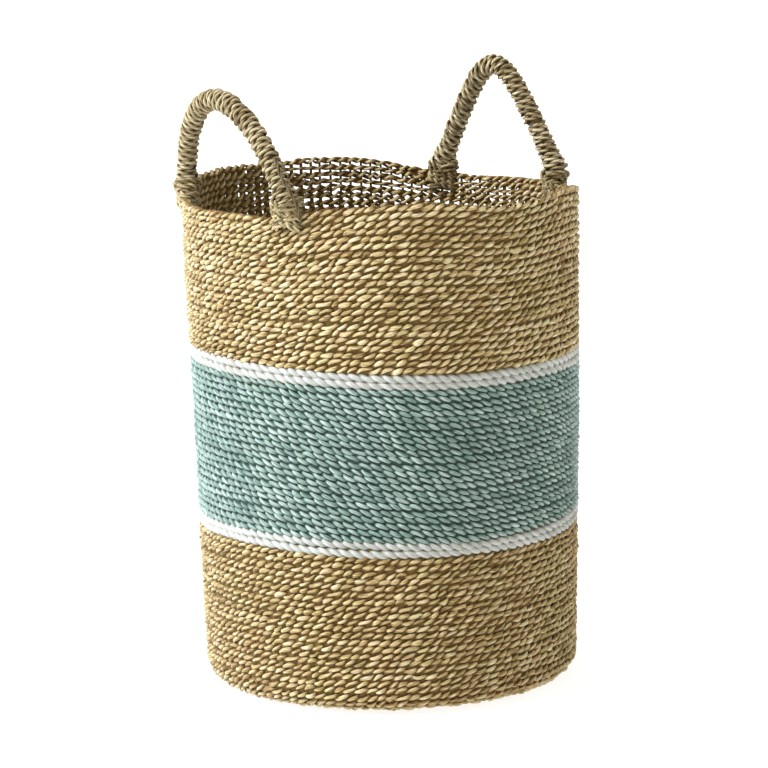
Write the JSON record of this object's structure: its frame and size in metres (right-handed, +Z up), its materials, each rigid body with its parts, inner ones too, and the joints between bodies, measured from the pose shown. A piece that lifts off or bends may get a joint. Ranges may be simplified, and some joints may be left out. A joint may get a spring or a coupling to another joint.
{
  "type": "woven laundry basket",
  "caption": "Tall round woven laundry basket of twined natural fibre with a coloured middle band and rope handles that fold in and out.",
  "frame": {"origin": "middle of the underside, on the plane the basket stands on", "axes": "+Z up out of the basket's mouth; -Y is the side seen from the front, with the left handle at front left and the right handle at back right; +X to the right"},
  "size_m": [0.3658, 0.36, 0.5587],
  "materials": {
    "natural": "matte",
    "mint": "matte",
    "white": "matte",
    "rope": "matte",
    "lashing": "matte",
    "stakes": "matte"
  },
  "bodies": {
    "basket": {"base_hub": "stakes", "base_weft": "natural", "lower_natural_weft": "natural", "lower_white_weft": "white", "mint_weft": "mint", "upper_white_weft": "white", "upper_natural_weft": "natural", "rim_border": "natural", "warp_stake_01": "stakes", "warp_stake_02": "stakes", "warp_stake_03": "stakes", "warp_stake_04": "stakes", "warp_stake_05": "stakes", "warp_stake_06": "stakes", "warp_stake_07": "stakes", "warp_stake_08": "stakes", "warp_stake_09": "stakes", "warp_stake_10": "stakes", "warp_stake_11": "stakes", "warp_stake_12": "stakes", "warp_stake_13": "stakes", "warp_stake_14": "stakes", "warp_stake_15": "stakes", "warp_stake_16": "stakes", "warp_stake_17": "stakes", "warp_stake_18": "stakes", "warp_stake_19": "stakes", "warp_stake_20": "stakes", "warp_stake_21": "stakes", "warp_stake_22": "stakes", "warp_stake_23": "stakes", "warp_stake_24": "stakes", "warp_stake_25": "stakes", "warp_stake_26": "stakes", "warp_stake_27": "stakes", "warp_stake_28": "stakes", "left_handle_lashing_a": "lashing", "left_handle_lashing_b": "lashing", "right_handle_lashing_a": "lashing", "right_handle_lashing_b": "lashing"},
    "left_handle": {"left_handle_core": "rope", "left_handle_wrap": "rope"},
    "right_handle": {"right_handle_core": "rope", "right_handle_wrap": "rope"}
  },
  "joints": [
    {"name": "left_handle_fold", "type": "hinge", "parent": "basket", "child": "left_handle", "pos_m": [-0.12939, -0.07682, 0.463], "axis": [0.5105, -0.8599, 0], "range_deg": [-98, 76]},
    {"name": "right_handle_fold", "type": "hinge", "parent": "basket", "child": "right_handle", "pos_m": [0.11066, 0.11867, 0.463], "axis": [-0.7314, 0.682, 0], "range_deg": [-84, 90]}
  ]
}
